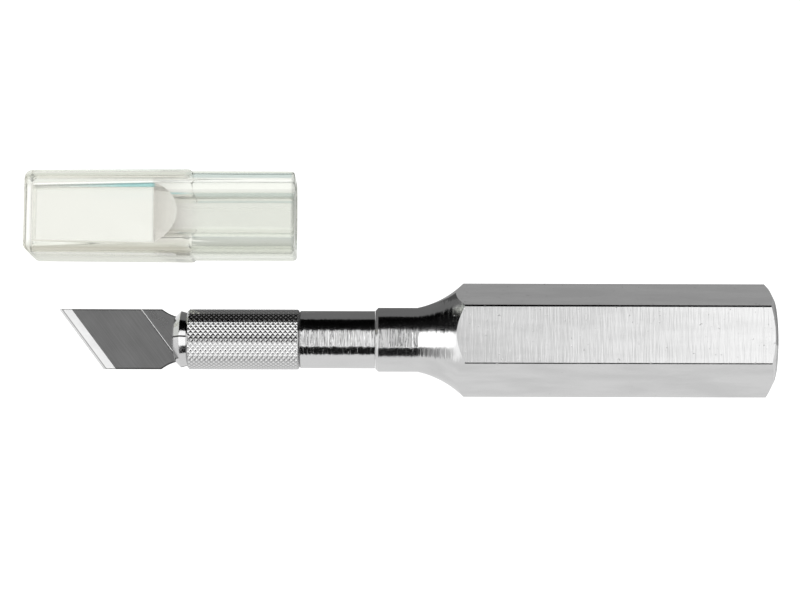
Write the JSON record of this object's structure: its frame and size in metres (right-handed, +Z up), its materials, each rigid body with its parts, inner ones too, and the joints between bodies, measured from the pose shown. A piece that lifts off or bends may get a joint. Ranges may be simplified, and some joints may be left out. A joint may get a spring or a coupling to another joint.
{
  "type": "craft knife",
  "caption": "Heavy-duty craft knife: hexagonal metal handle, knurled chuck collar, split collet, angled blade, and a clear slip-on cap lying beside it.",
  "frame": {"origin": "middle of the handle's lower flat, which the knife rests on", "axes": "+X along the knife's axis towards the butt, so the blade points to -X; +Z up, square to that flat; +Y towards the cap"},
  "size_m": [0.1427, 0.0432, 0.0191],
  "materials": {
    "handle": "turned and milled bar, bright",
    "chuck_neck": "fine turned, bright",
    "knurled_collar": "diamond knurled",
    "collet": "polished",
    "blade": "ground, with a brighter bevel",
    "safety_cap": "clear injection moulding"
  },
  "bodies": {
    "handle": {"handle": "handle", "chuck_neck": "chuck_neck"},
    "collar": {"knurled_collar": "knurled_collar"},
    "collet": {"collet_shank": "collet"},
    "jaw_upper_left": {"collet_jaw_upper_left": "collet"},
    "jaw_lower_left": {"collet_jaw_lower_left": "collet"},
    "jaw_upper_right": {"collet_jaw_upper_right": "collet"},
    "jaw_lower_right": {"collet_jaw_lower_right": "collet"},
    "blade": {"blade": "blade"},
    "cap": {"safety_cap": "safety_cap"}
  },
  "joints": [
    {"name": "collar_turn", "type": "hinge", "parent": "handle", "child": "collar", "pos_m": [-0.07, 0, 0.00953], "axis": [-1, 0, 0], "range_deg": [0, 450]},
    {"name": "collet_travel", "type": "slide", "parent": "collar", "child": "collet", "axis": [-1, 0, 0], "range_m": [0, 0.001]},
    {"name": "jaw_flex_upper_left", "type": "hinge", "parent": "collet", "child": "jaw_upper_left", "pos_m": [-0.0666, 0.0021, 0.01162], "axis": [0, 0.7071, -0.7071], "range_deg": [0, 0.85]},
    {"name": "jaw_flex_lower_left", "type": "hinge", "parent": "collet", "child": "jaw_lower_left", "pos_m": [-0.0666, 0.0021, 0.00743], "axis": [0, -0.7071, -0.7071], "range_deg": [0, 0.85]},
    {"name": "jaw_flex_upper_right", "type": "hinge", "parent": "collet", "child": "jaw_upper_right", "pos_m": [-0.0666, -0.0021, 0.01162], "axis": [0, 0.7071, 0.7071], "range_deg": [0, 0.85]},
    {"name": "jaw_flex_lower_right", "type": "hinge", "parent": "collet", "child": "jaw_lower_right", "pos_m": [-0.0666, -0.0021, 0.00743], "axis": [0, -0.7071, 0.7071], "range_deg": [0, 0.85]},
    {"name": "blade_slide", "type": "slide", "parent": "collet", "child": "blade", "axis": [-1, 0, 0], "range_m": [0, 0.018]},
    {"name": "cap_slide", "type": "slide", "parent": "handle", "child": "cap", "axis": [-1, 0, 0], "range_m": [0, 0.05]}
  ],
  "couplings": [
    {"joint": "collar_turn", "follows": "collet_travel", "rad_per_m": 7854},
    {"joint": "jaw_flex_upper_left", "follows": "collet_travel", "rad_per_m": 14.835},
    {"joint": "jaw_flex_lower_left", "follows": "collet_travel", "rad_per_m": 14.835},
    {"joint": "jaw_flex_upper_right", "follows": "collet_travel", "rad_per_m": 14.835},
    {"joint": "jaw_flex_lower_right", "follows": "collet_travel", "rad_per_m": 14.835}
  ]
}
